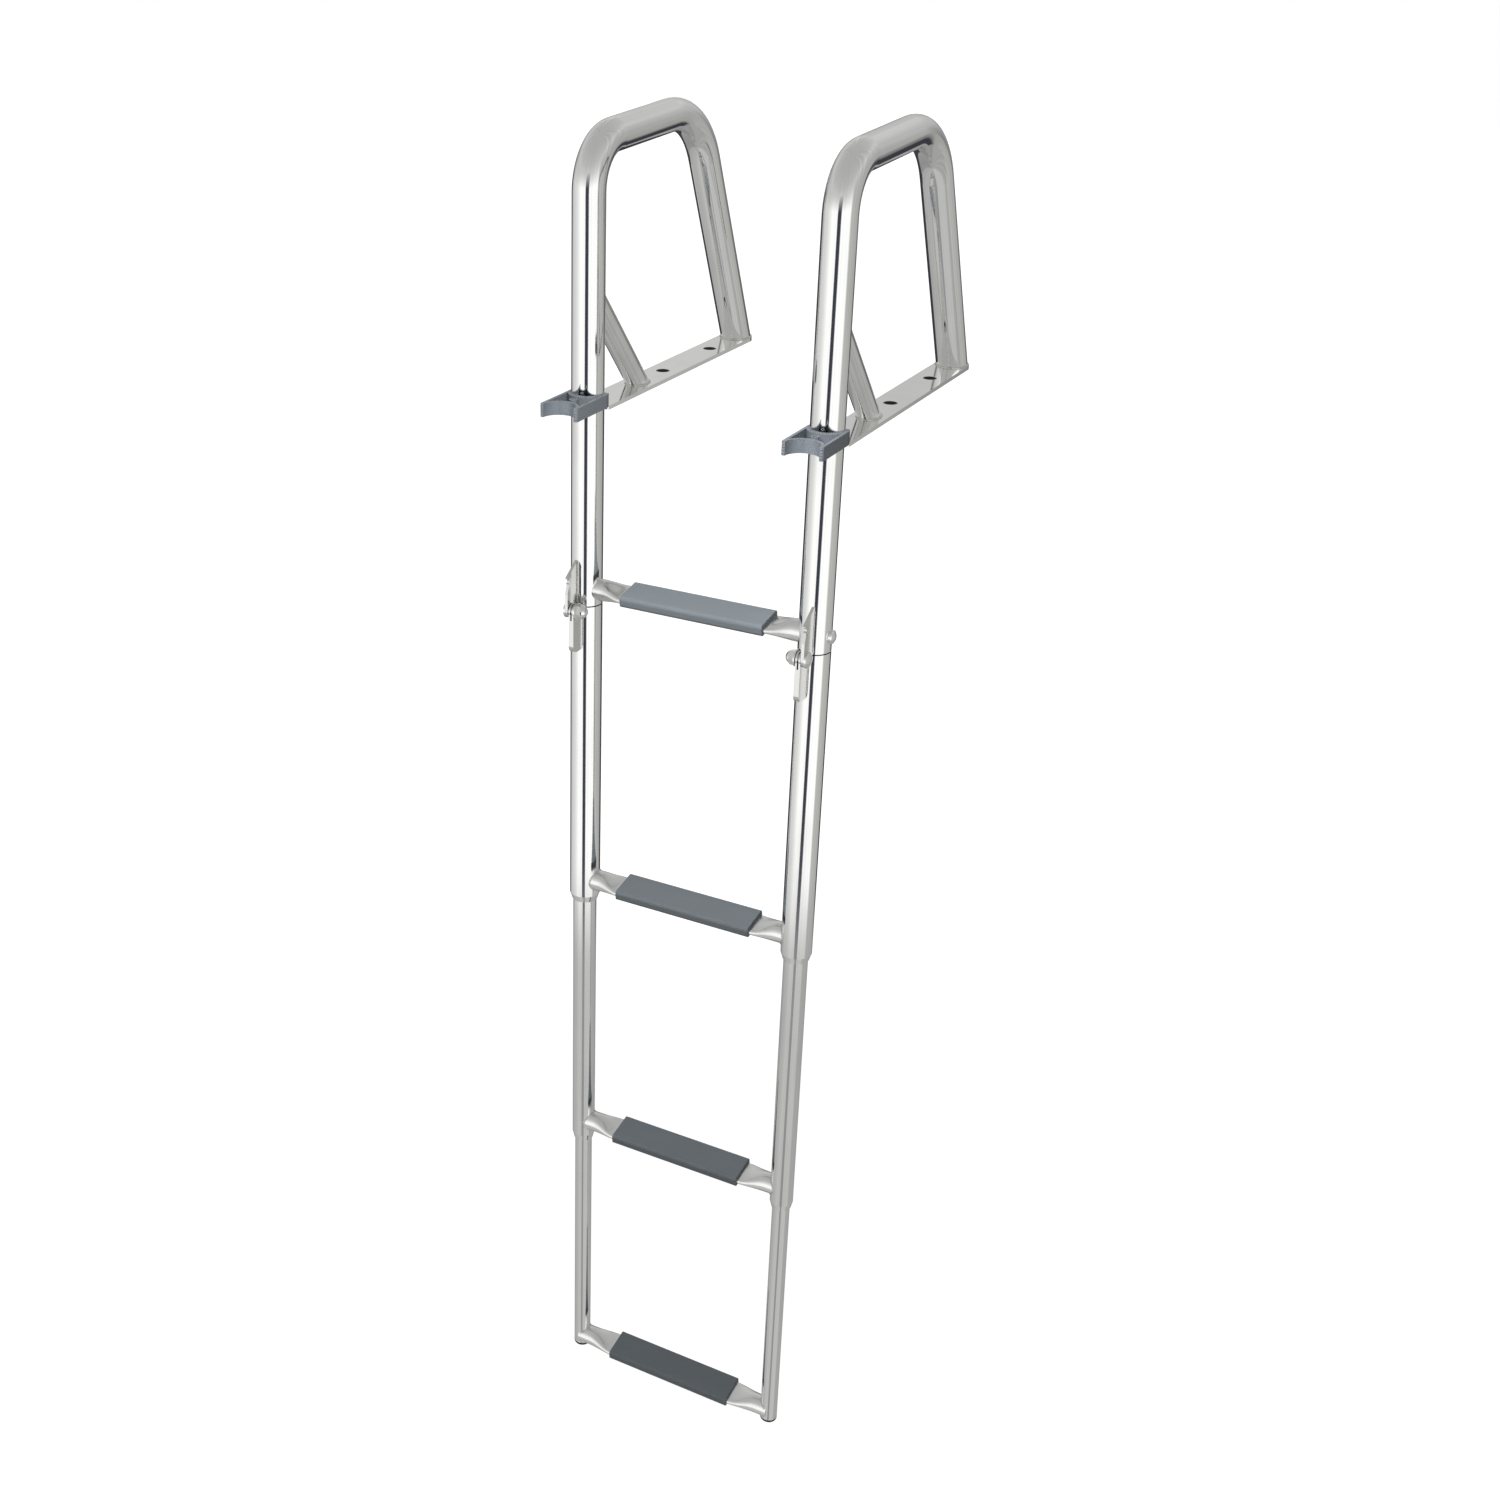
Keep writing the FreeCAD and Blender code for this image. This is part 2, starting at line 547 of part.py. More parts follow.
def build_side(side):
    """Write every piece that repeats at the left and the right rail.

    The sided pieces are drawn for the right rail, with their outer side towards +X.
    """
    middle_top = -UPPER_COLLAR_END_DROP + TELESCOPE_OVERLAP
    lower_top = -LOWER_COLLAR_END_DROP + TELESCOPE_OVERLAP
    lower_end = -FOOT_DROP + FOOT_CAP_HEIGHT
    pieces = {
        "handle_tube": handle_tube(),
        "strut": strut(),
        "mounting_plate": mounting_plate(),
        "double_clip": double_clip(),
        "fold_tube": tube(RAIL_OD, -COLLAR_TOP_DROPS[0], FOLD_TUBE_TOP),
        "upper_collar": collar(RAIL_OD, MIDDLE_OD, COLLAR_TOP_DROPS[0], COLLAR_HEIGHTS[0]),
        "middle_tube": tube(MIDDLE_OD, -COLLAR_TOP_DROPS[1], middle_top),
        "lower_collar": collar(MIDDLE_OD, LOWER_OD, COLLAR_TOP_DROPS[1], COLLAR_HEIGHTS[1]),
        "lower_tube": tube(LOWER_OD, lower_end, lower_top),
        "foot_cap": foot_cap(),
    }
    sided = {
        "upper_hinge_bracket": upper_hinge_bracket(),
        "lower_hinge_bracket": lower_hinge_bracket(),
        "hinge_bolt": hinge_bolt(),
        "hinge_nut": hinge_nut(),
        "rung_bolt": rung_bolt(),
    }
    for name, shape in sided.items():
        pieces[name] = shape.mirror(V(0, 0, 0), X_AXIS) if side == "left" else shape
    for name, shape in pieces.items():
        save(side + "_" + name, to_side(shape, side))


def build_steps():
    """Write the four rungs and their tread pads, from the top down."""
    rail_ods = (RAIL_OD, RAIL_OD, MIDDLE_OD, LOWER_OD)
    inserts = (RUNG_INSERT, 0, 0, 0)
    for index, (rail_od, insert) in enumerate(zip(rail_ods, inserts)):
        number = str(index + 1)
        save("rung_" + number, rung(index, rail_od, insert))
        save("tread_" + number, tread_pad(index))


for side_name in SIDES:
    build_side(side_name)
build_steps()
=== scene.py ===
"""Looks of the folding telescopic swim ladder: finishes, weld beads, clip ribs, floor, light and camera."""
import json
import logging
import math
from collections.abc import Callable, Sequence
from dataclasses import dataclass, field
from enum import Enum

import bmesh
import bpy
from mathutils import Matrix, Vector


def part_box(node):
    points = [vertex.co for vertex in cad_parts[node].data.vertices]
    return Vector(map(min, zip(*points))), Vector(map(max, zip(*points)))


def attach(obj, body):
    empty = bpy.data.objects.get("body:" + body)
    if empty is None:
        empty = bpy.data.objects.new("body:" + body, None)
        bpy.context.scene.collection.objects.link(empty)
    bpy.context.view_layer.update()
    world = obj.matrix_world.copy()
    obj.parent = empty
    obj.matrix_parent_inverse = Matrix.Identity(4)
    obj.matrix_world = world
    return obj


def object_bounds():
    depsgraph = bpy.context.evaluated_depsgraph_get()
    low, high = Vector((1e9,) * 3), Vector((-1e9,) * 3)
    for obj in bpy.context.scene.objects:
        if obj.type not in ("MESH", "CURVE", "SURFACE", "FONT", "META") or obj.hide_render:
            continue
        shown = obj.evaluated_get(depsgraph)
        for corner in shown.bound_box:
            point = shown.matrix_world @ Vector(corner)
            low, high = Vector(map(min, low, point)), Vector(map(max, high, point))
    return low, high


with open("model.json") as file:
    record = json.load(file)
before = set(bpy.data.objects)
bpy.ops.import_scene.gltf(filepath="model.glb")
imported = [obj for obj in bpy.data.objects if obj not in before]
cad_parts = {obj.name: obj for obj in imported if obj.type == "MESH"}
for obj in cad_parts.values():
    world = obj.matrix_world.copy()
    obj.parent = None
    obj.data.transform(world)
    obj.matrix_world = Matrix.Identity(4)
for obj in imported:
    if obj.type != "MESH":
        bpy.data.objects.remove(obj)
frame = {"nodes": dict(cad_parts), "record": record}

logging.basicConfig(level=logging.INFO, format="%(message)s")
LOG = logging.getLogger("swim_ladder")
CAD_LOW, CAD_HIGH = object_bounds()
Colour = tuple[float, float, float]
Point = tuple[float, float, float]
FULL_TURN_DEG = 360.0


class Side(Enum):
    """The two rails, as the photograph shows them."""

    LEFT = "left"
    RIGHT = "right"

    def named(self, piece: str) -> str:
        """The name of this side's own node or piece."""
        return f"{self.value}_{piece}"


class Body(Enum):
    """The four bodies of the ladder that move against each other."""

    FRAME = "upper_frame"
    FOLD = "folding_section"
    MIDDLE = "middle_section"
    LOWER = "lower_section"


class Slot(Enum):
    """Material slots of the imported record."""

    STAINLESS = "stainless"
    TREAD = "tread_plastic"
    CLIP = "clip_plastic"
    CAP = "cap_plastic"


class Value:
    """A socket's value; arithmetic on a number adds Math nodes."""

    def __init__(self, graph: "Graph", socket: bpy.types.NodeSocket) -> None:
        """Keep the socket and the graph that it belongs to."""
        self.graph = graph
        self.socket = socket

    def _math(self, operation: str, first: "Value | float", second: "Value | float") -> "Value":
        """Add one Math node with two inputs."""
        return self.graph.node("ShaderNodeMath", {"operation": operation}, {0: first, 1: second})

    def __add__(self, other: "Value | float") -> "Value":
        """Self plus other."""
        return self._math("ADD", self, other)

    def __sub__(self, other: "Value | float") -> "Value":
        """Self minus other."""
        return self._math("SUBTRACT", self, other)

    def __rsub__(self, other: float) -> "Value":
        """Other minus self."""
        return self._math("SUBTRACT", other, self)

    def __mul__(self, other: "Value | float") -> "Value":
        """Self times other."""
        return self._math("MULTIPLY", self, other)

    def __truediv__(self, other: "Value | float") -> "Value":
        """Self divided by other."""
        return self._math("DIVIDE", self, other)

    def __rtruediv__(self, other: float) -> "Value":
        """Other divided by self."""
        return self._math("DIVIDE", other, self)

    __radd__ = __add__
    __rmul__ = __mul__

    def at_most(self, limit: float) -> "Value":
        """The smaller of self and limit."""
        return self._math("MINIMUM", self, limit)

    def at_least(self, limit: float) -> "Value":
        """The larger of self and limit."""
        return self._math("MAXIMUM", self, limit)

    def clamped(self) -> "Value":
        """Self, kept from 0 to 1."""
        return self.at_least(0.0).at_most(1.0)

    def fold_back(self, span: float) -> "Value":
        """Self, running to and fro between 0 and span."""
        return self._math("PINGPONG", self, span)

    def angle_from(self, other: "Value") -> "Value":
        """The angle whose tangent is self over other, all the way round."""
        return self._math("ARCTAN2", self, other)


class Graph:
    """Builds the nodes of one material or of the world."""

    MIX_SHARE, MIX_LOW, MIX_HIGH, MIX_RESULT = 0, 6, 7, 2

    def __init__(self, tree: bpy.types.NodeTree) -> None:
        """Start from an empty tree."""
        self.tree = tree
        tree.nodes.clear()

    def _add(self, kind: str, settings: dict[str, object] | None,
             inputs: dict[int | str, object] | None) -> bpy.types.Node:
        """Add one node, with its settings first and then its values and links.

        Args:
            kind: Blender's name of the node type.
            settings: Properties by name.
            inputs: Values or links by socket name or number.

        Returns:
            The node.
        """
        made = self.tree.nodes.new(kind)
        for name, value in (settings or {}).items():
            if name == "stops":
                self._set_stops(made.color_ramp, value)
            else:
                setattr(made, name, value)
        for name, value in (inputs or {}).items():
            if isinstance(value, Value):
                self.tree.links.new(value.socket, made.inputs[name])
            else:
                made.inputs[name].default_value = value
        return made

    @staticmethod
    def _set_stops(ramp: bpy.types.ColorRamp, stops: Sequence[tuple[float, Colour]]) -> None:
        """Give a colour ramp its stops.

        Args:
            ramp: The ramp, with its first two stops.
            stops: Position and colour of each stop.
        """
        while len(ramp.elements) < len(stops):
            ramp.elements.new(0.5)
        for element, (position, colour) in zip(ramp.elements, stops):
            element.position = position
            element.color = (*colour, 1.0)

    def node(self, kind: str, settings: dict[str, object] | None = None,
             inputs: dict[int | str, object] | None = None, output: int | str = 0) -> Value:
        """Add one node.

        Args:
            kind: Blender's name of the node type.
            settings: Properties, set first. "stops" is a ramp's list of (position, colour).
            inputs: Values or links by socket name or number.
            output: The output that is wanted.

        Returns:
            The wanted output.
        """
        return Value(self, self._add(kind, settings, inputs).outputs[output])

    def end(self, kind: str, shader: Value) -> None:
        """Link a shader to the material's or the world's output."""
        self._add(kind, None, {"Surface": shader})

    def output_of(self, value: Value, output: str) -> Value:
        """Another output of the node that a value comes from."""
        return Value(self, value.socket.node.outputs[output])

    def place(self) -> Value:
        """The point on the object, in metres."""
        return self.node("ShaderNodeTexCoord", output="Object")

    def parts(self, vector: Value) -> tuple[Value, Value, Value]:
        """The X, Y and Z of a vector."""
        x = self.node("ShaderNodeSeparateXYZ", None, {0: vector})
        return x, self.output_of(x, "Y"), self.output_of(x, "Z")

    def noise(self, where: Value, scale: float, detail: float, stretch: Point = (1, 1, 1)) -> Value:
        """Smooth noise from 0 to 1.

        Args:
            where: The coordinate.
            scale: Waves per metre.
            detail: Octaves.
            stretch: Factors on X, Y and Z before the noise.

        Returns:
            The noise value.
        """
        spread = self.node("ShaderNodeVectorMath", {"operation": "MULTIPLY"}, {0: where, 1: stretch})
        return self.node("ShaderNodeTexNoise", None, {"Vector": spread, "Scale": scale, "Detail": detail})

    def mix(self, share: Value, low: Value | Colour, high: Value | Colour) -> Value:
        """A colour between two colours.

        Args:
            share: 0 for low, 1 for high.
            low: The first colour, linear.
            high: The second colour, linear.

        Returns:
            The mixed colour.
        """
        first, second = (end if isinstance(end, Value) else (*end, 1.0) for end in (low, high))
        sockets = {self.MIX_SHARE: share, self.MIX_LOW: first, self.MIX_HIGH: second}
        return self.node("ShaderNodeMix", {"data_type": "RGBA"}, sockets, self.MIX_RESULT)

    def ramp(self, share: Value, stops: Sequence[tuple[float, Colour]]) -> Value:
        """A colour from a ramp's stops."""
        return self.node("ShaderNodeValToRGB", {"stops": stops}, {0: share})

    def bump(self, height: Value, strength: float, distance: float) -> Value:
        """A normal from a height."""
        sockets = {"Height": height, "Strength": strength, "Distance": distance}
        return self.node("ShaderNodeBump", None, sockets)

    def finish_surface(self, sockets: dict[str, object]) -> None:
        """End the tree in one Principled shader with the given sockets."""
        self.end("ShaderNodeOutputMaterial", self.node("ShaderNodeBsdfPrincipled", None, sockets))


@dataclass(frozen=True)
class Finish:
    """A surface finish that can make its own material."""

    name: str

    def material(self) -> bpy.types.Material:
        """The finish's material, made on first use.

        Returns:
            The material.
        """
        found = bpy.data.materials.get(self.name)
        if found is None:
            found = bpy.data.materials.new(self.name)
            found.use_nodes = True
            self.paint(Graph(found.node_tree))
        return found

    def paint(self, graph: Graph) -> None:
        """Add the nodes of this finish."""
        raise NotImplementedError


@dataclass(frozen=True)
class PolishedStainless(Finish):
    """Mirror-polished tube and sheet, with faint polishing lines, wipe marks and slow waves."""

    colour: Colour = (0.80, 0.80, 0.79)
    smeared: Colour = (0.70, 0.70, 0.69)
    roughness: float = 0.055
    wave_scale: float = 9.0
    wave_strength: float = 0.5
    wave_depth: float = 0.00025
    wipe_scale: float = 26.0
    wipe_stretch: Point = (1.0, 1.0, 0.35)
    wipe_start: float = 0.52
    wipe_gain: float = 4.0
    wipe_share: float = 0.6
    wipe_roughness: float = 0.045
    grain_scale: float = 1400.0
    grain_stretch: Point = (1.0, 1.0, 0.05)
    grain_share: float = 0.25
    grain_roughness: float = 0.04
    grain_depth: float = 0.004

    def shade(self, graph: Graph, where: Value, colour: Value) -> Value:
        """The colour with painted shade in its recesses; plain tube has none."""
        return colour

    def paint(self, graph: Graph) -> None:
        """Add the nodes of this finish.

        Args:
            graph: The material's graph.
        """
        where = graph.place()
        wipes = graph.noise(where, self.wipe_scale, detail=3.0, stretch=self.wipe_stretch)
        grain = graph.noise(where, self.grain_scale, detail=2.0, stretch=self.grain_stretch)
        mark = ((wipes - self.wipe_start) * self.wipe_gain).clamped()
        waves = graph.noise(where, self.wave_scale, detail=1.0)
        colour = graph.mix(mark * self.wipe_share + grain * self.grain_share, self.colour, self.smeared)
        graph.finish_surface({
            "Base Color": self.shade(graph, where, colour),
            "Metallic": 1.0,
            "Roughness": mark * self.wipe_roughness + grain * self.grain_roughness + self.roughness,
            "Normal": graph.bump(waves + grain * self.grain_depth, self.wave_strength, self.wave_depth),
        })


@dataclass(frozen=True)
class DrilledStainless(PolishedStainless):
    """Polished plate whose countersunk holes get painted shade: a dark colour in place of the shade inside
    them.
    """

    # colour of the painted shade in the countersunk holes
    painted_hole_shade: Colour = (0.035, 0.034, 0.032)
    hole_depth: float = 0.0002
    outline_inset: float = 0.002
    edge_gain: float = 9000.0

    def shade(self, graph: Graph, where: Value, colour: Value) -> Value:
        """The colour with painted shade, dark below the plate's top and within its side edges, which takes in
        the plate's end faces too.

        Args:
            graph: The graph that takes the nodes.
            where: The point on the plate.
            colour: The polished colour.

        Returns:
            The shaded colour.
        """
        low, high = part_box(Side.LEFT.named("mounting_plate"))
        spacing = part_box(Side.RIGHT.named("mounting_plate"))[0].x - low.x
        x, _, z = graph.parts(where)
        below_top = ((high.z - self.hole_depth - z) * self.edge_gain).clamped()
        above_bottom = ((z - low.z) * self.edge_gain).clamped()
        from_middle = (x - (high.x + low.x) / 2).fold_back(spacing / 2)
        inside = (((high.x - low.x) / 2 - self.outline_inset - from_middle) * self.edge_gain).clamped()
        # painted shade: the holes' recesses, and the plate's end faces, are coloured dark in place of their
        # shade
        return graph.mix(below_top * above_bottom * inside, colour, self.painted_hole_shade)


@dataclass(frozen=True)
class BrushedWeld(Finish):
    """Brushed weld, duller and a little warmer than the polished tube."""

    colour: Colour = (0.66, 0.64, 0.60)
    tint: Colour = (0.52, 0.49, 0.44)
    roughness: float = 0.16
    heat_scale: float = 160.0
    heat_roughness: float = 0.18
    pit_scale: float = 1500.0
    pit_strength: float = 0.35
    pit_depth: float = 0.0002

    def paint(self, graph: Graph) -> None:
        """Add the nodes of this finish.

        Args:
            graph: The material's graph.
        """
        where = graph.place()
        heat = graph.noise(where, self.heat_scale, detail=3.0)
        pits = graph.noise(where, self.pit_scale, detail=2.0)
        graph.finish_surface({
            "Base Color": graph.mix(heat, self.colour, self.tint),
            "Metallic": 1.0,
            "Roughness": heat * self.heat_roughness + self.roughness,
            "Normal": graph.bump(pits, self.pit_strength, self.pit_depth),
        })


@dataclass(frozen=True)
class MouldedPlastic(Finish):
    """Satin moulded plastic with a fine grain, slow tone changes and rubbed spots."""

    colour: Colour = (0.2, 0.2, 0.2)
    rubbed: Colour = (0.3, 0.3, 0.3)
    roughness: float = 0.36
    specular: float = 0.25
    tone_scale: float = 14.0
    tone_share: float = 0.4
    tone_roughness: float = 0.1
    rub_scale: float = 60.0
    rub_stretch: Point = (0.35, 1.0, 1.0)
    rub_start: float = 0.5
    rub_gain: float = 3.0
    rub_share: float = 0.2
    rub_roughness: float = 0.08
    grain_scale: float = 2200.0
    grain_share: float = 0.06
    grain_strength: float = 0.5
    grain_depth: float = 0.000008

    def paint(self, graph: Graph) -> None:
        """Add the nodes of this finish.

        Args:
            graph: The material's graph.
        """
        where = graph.place()
        tone = graph.noise(where, self.tone_scale, detail=2.0)
        spots = graph.noise(where, self.rub_scale, detail=3.0, stretch=self.rub_stretch)
        rub = ((spots - self.rub_start) * self.rub_gain).clamped()
        grain = graph.noise(where, self.grain_scale, detail=2.0)
        share = tone * self.tone_share + rub * self.rub_share + grain * self.grain_share
        graph.finish_surface({
            "Base Color": graph.mix(share, self.colour, self.rubbed),
            "Roughness": tone * self.tone_roughness + rub * self.rub_roughness + self.roughness,
            "Specular IOR Level": self.specular,
            "Normal": graph.bump(grain, self.grain_strength, self.grain_depth),
        })


STAINLESS = PolishedStainless("polished_stainless")
PRESSED = PolishedStainless("pressed_stainless", roughness=0.2, wave_depth=0.0001)
SATIN = PolishedStainless("satin_sheet_stainless", (0.68, 0.68, 0.67), (0.58, 0.58, 0.57), roughness=0.13,
                          wave_depth=0.0003, grain_depth=0.002)
DRILLED = DrilledStainless("drilled_plate_stainless", (0.9, 0.9, 0.89), (0.8, 0.8, 0.79))
WELD = BrushedWeld("brushed_weld")
TREAD_GREY = MouldedPlastic("tread_grey_plastic", (0.132, 0.15, 0.163), (0.178, 0.198, 0.213))
CLIP_GREY = MouldedPlastic("clip_blue_grey_plastic", (0.10, 0.113, 0.128), (0.15, 0.166, 0.184),
                           roughness=0.24, specular=0.4, grain_depth=0.0000015)
CAP_BLACK = MouldedPlastic("cap_black_plastic", (0.012, 0.012, 0.013), (0.035, 0.035, 0.036), roughness=0.44)
SLOT_FINISH: dict[Slot, Finish] = {
    Slot.STAINLESS: STAINLESS,
    Slot.TREAD: TREAD_GREY,
    Slot.CLIP: CLIP_GREY,
    Slot.CAP: CAP_BLACK,
}
OWN_FINISH: dict[str, Finish] = {
    **{f"rung_{number}": PRESSED for number in range(1, len(Body) + 1)},
    **{side.named("mounting_plate"): DRILLED for side in Side},
    **{side.named(f"{place}_hinge_bracket"): SATIN for side in Side for place in ("upper", "lower")},
}


class CadFinishes:
    """Puts a finish on every CAD node: its own where it has one, or else that of its slot."""

    def dress(self) -> int:
        """Give every CAD node its finish.

        Returns:
            How many nodes were dressed.
        """
        slots = {part["node"]: Slot(part["material_slot"]) for part in frame["record"]["subparts"]}
        for name, item in frame["nodes"].items():
            material = (OWN_FINISH.get(name) or SLOT_FINISH[slots[name]]).material()
            if not item.material_slots:
                item.data.materials.append(material)
            for place in item.material_slots:
                place.material = material
        return len(frame["nodes"])


def centre_and_size(node: str) -> tuple[Vector, Vector]:
    """The middle and the size of a CAD node's box.

    Args:
        node: Name of the CAD node.

    Returns:
        The middle and the size, in metres.
    """
    low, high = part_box(node)
    return (low + high) / 2, high - low


def new_piece(name: str, mesh: bmesh.types.BMesh, finish: Finish, body: Body) -> bpy.types.Object:
    """Turn a finished mesh into a piece that rides on a body.

    Args:
        name: Name of the piece.
        mesh: Its mesh, which is freed.
        finish: Its finish.
        body: The body that carries it.

    Returns:
        The piece.
    """
    bmesh.ops.recalc_face_normals(mesh, faces=mesh.faces)
    for face in mesh.faces:
        face.smooth = True
    data = bpy.data.meshes.new(name)
    mesh.to_mesh(data)
    mesh.free()
    data.materials.append(finish.material())
    piece = bpy.data.objects.new(name, data)
    bpy.context.scene.collection.objects.link(piece)
    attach(piece, body.value)
    return piece


@dataclass
class Bead:
    """A rippled weld bead of one radius; on an open seam it stops just short of the end."""

    mesh: bmesh.types.BMesh
    radius: float
    sides: int = 8
    ripple: float = 0.08
    ripple_turn: float = 2.1
    end_taper: float = 0.4
    open_span: float = 0.999

    def run(self, seam: Callable[[float], Vector], steps: int, closed: bool = True) -> None:
        """Lay the bead along a seam.

        Args:
            seam: Gives the seam's point for a share of its length from 0 to 1.
            steps: How many steps the bead has.
            closed: True where the seam runs all the way round.
        """
        if closed:
            path = [seam(i / steps) for i in range(steps)]
        else:
            path = [seam(self.open_span * i / steps) for i in range(steps + 1)]
        rings = self.rings(path, closed)
        pairs = list(zip(rings, rings[1:]))
        if closed:
            pairs.append((rings[-1], self.aligned(rings[-1], rings[0])))
        for ring, following in pairs:
            for k in range(self.sides):
                after = (k + 1) % self.sides
                self.mesh.faces.new((ring[k], ring[after], following[after], following[k]))
        if not closed:
            self.mesh.faces.new(rings[0])
            self.mesh.faces.new(rings[-1])

    def rings(self, path: Sequence[Vector], closed: bool) -> list[list[bmesh.types.BMVert]]:
        """Add a ring of points round each point of a path.

        Args:
            path: Points on the seam, in metres.
            closed: True where the seam runs all the way round.

        Returns:
            The rings, in order.
        """
        count = len(path)
        turns = [2 * math.pi * k / self.sides for k in range(self.sides)]
        rings = []
        side = None
        for i, point in enumerate(path):
            starts = not closed and i == 0
            ends = not closed and i == count - 1
            before = point if starts else path[i - 1]
            after = point if ends else path[(i + 1) % count]
            along = (after - before).normalized()
            side = along.orthogonal() if side is None else side - along * side.dot(along)
            side.normalize()
            up = along.cross(side)
            reach = self.radius * (1.0 + self.ripple * math.sin(i * self.ripple_turn))
            taper = self.end_taper if starts or ends else 1.0
            rings.append([self.mesh.verts.new(point + (side * math.cos(a) + up * math.sin(a)) * reach * taper)
                          for a in turns])
        return rings

    @staticmethod
    def aligned(ring: list[bmesh.types.BMVert], target: list[bmesh.types.BMVert]) -> list[bmesh.types.BMVert]:
        """Turn a ring's list so that it starts beside another ring's first point.

        Args:
            ring: The ring to start beside.
            target: The ring whose list is turned.

        Returns:
            The target's points in their new order.
        """
        start = min(range(len(target)), key=lambda k: (target[k].co - ring[0].co).length)
        turned = target[start:] + target[:start]
        backwards = [turned[0]] + turned[:0:-1]
        straight = (turned[1].co - ring[1].co).length <= (backwards[1].co - ring[1].co).length
        return turned if straight else backwards


@dataclass
class Rail:
    """Where one rail stands and how thick its tubes are, read from the CAD frame."""

    side: Side
    x: float = field(init=False)
    y: float = field(init=False)
    radii: dict[Body, float] = field(init=False)

    def __post_init__(self) -> None:
        """Measure the tubes."""
        middle, size = centre_and_size(self.side.named("fold_tube"))
        self.x, self.y = middle.x, middle.y
        self.radii = {Body.FRAME: size.x / 2, Body.FOLD: size.x / 2}
        for body, tube in ((Body.MIDDLE, "middle_tube"), (Body.LOWER, "lower_tube")):
            self.radii[body] = centre_and_size(self.side.named(tube))[1].x / 2

    def at(self, x: float, y: float, z: float) -> Vector:
        """A point given from the rail's axis."""
        return Vector((self.x + x, self.y + y, z))


@dataclass
class LeaningTube:
    """A tube that leans on the plate: the strut or the rear leg."""

    foot: Vector
    direction: Vector
    radius: float

    def skin(self, share: float) -> Vector:
        """A point on the skin beside the foot.

        Args:
            share: How far round the tube, from 0 to 1.

        Returns:
            The point.
        """
        across = Vector((1, 0, 0))
        up = self.direction.cross(across)
        angle = 2 * math.pi * share
        return self.foot + (across * math.cos(angle) + up * math.sin(angle)) * self.radius

    def on_plate(self, share: float) -> Vector:
        """Where the skin's line from that point meets the plate's top."""
        point = self.skin(share)
        return point + self.direction * ((self.foot.z - point.z) / self.direction.z)

    def on_rail(self, rail: Rail, share: float) -> Vector:
        """Where the skin's line from that point meets the back of a rail.

        Args:
            rail: The rail.
            share: How far round the tube, from 0 to 1.

        Returns:
            The point.
        """
        point = self.skin(share)
        back = math.sqrt(max(rail.radii[Body.FRAME] ** 2 - (point.x - rail.x) ** 2, 0.0))
        return point + self.direction * ((rail.y + back - point.y) / self.direction.y)


@dataclass
class HandleWelds:
    """Weld beads where the handle, the strut and the plate meet, ground flush with the plate's end."""

    rail: Rail
    leg_bead: float = 0.0013
    strut_bead: float = 0.0012
    plate_bead: float = 0.00117
    leg_lean: float = math.radians(24.6)
    leg_foot: float = 0.328
    strut_foot: float = 0.1009
    strut_rail_height: float = 0.1167
    low_seam_height: float = 0.0005
    steps: int = 64

    def strut(self, plate_top: float) -> LeaningTube:
        """The strut, from the plate's top up to the rail.

        Args:
            plate_top: Height of the plate's upper face.

        Returns:
            The strut.
        """
        _, size = centre_and_size(self.rail.side.named("strut"))
        foot = self.rail.at(0, self.strut_foot, plate_top)
        top = self.rail.at(0, 0, self.strut_rail_height)
        return LeaningTube(foot, (top - foot).normalized(), size.x / 2)

    def leg(self, plate_top: float) -> LeaningTube:
        """The rear leg, leaning forwards from the plate's top."""
        lean = Vector((0, -math.sin(self.leg_lean), math.cos(self.leg_lean)))
        return LeaningTube(self.rail.at(0, self.leg_foot, plate_top), lean, self.rail.radii[Body.FRAME])

    def behind_rail(self, angle: float, height: float) -> Vector:
        """A point on the back of the rail's skin."""
        radius = self.rail.radii[Body.FRAME]
        return self.rail.at(radius * math.sin(angle), radius * math.cos(angle), height)

    def build(self) -> bpy.types.Object:
        """Make the beads of one side's handle.

        Returns:
            The piece.
        """
        mesh = bmesh.new()
        plate_low, plate_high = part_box(self.rail.side.named("mounting_plate"))
        strut = self.strut(plate_high.z)
        around_strut = Bead(mesh, self.strut_bead)
        around_strut.run(strut.on_plate, self.steps)
        around_strut.run(lambda share: strut.on_rail(self.rail, share), self.steps)
        Bead(mesh, self.leg_bead).run(self.leg(plate_high.z).on_plate, self.steps)
        half = math.acos(min((plate_low.y - self.rail.y) / self.rail.radii[Body.FRAME], 1.0))
        for height in (plate_high.z, self.low_seam_height):
            Bead(mesh, self.plate_bead).run(
                lambda share: self.behind_rail(half * (2 * share - 1), height), self.steps // 2, closed=False)
        for vertex in mesh.verts:
            vertex.co.y = min(vertex.co.y, plate_high.y)
        return new_piece(self.rail.side.named("handle_welds"), mesh, WELD, Body.FRAME)


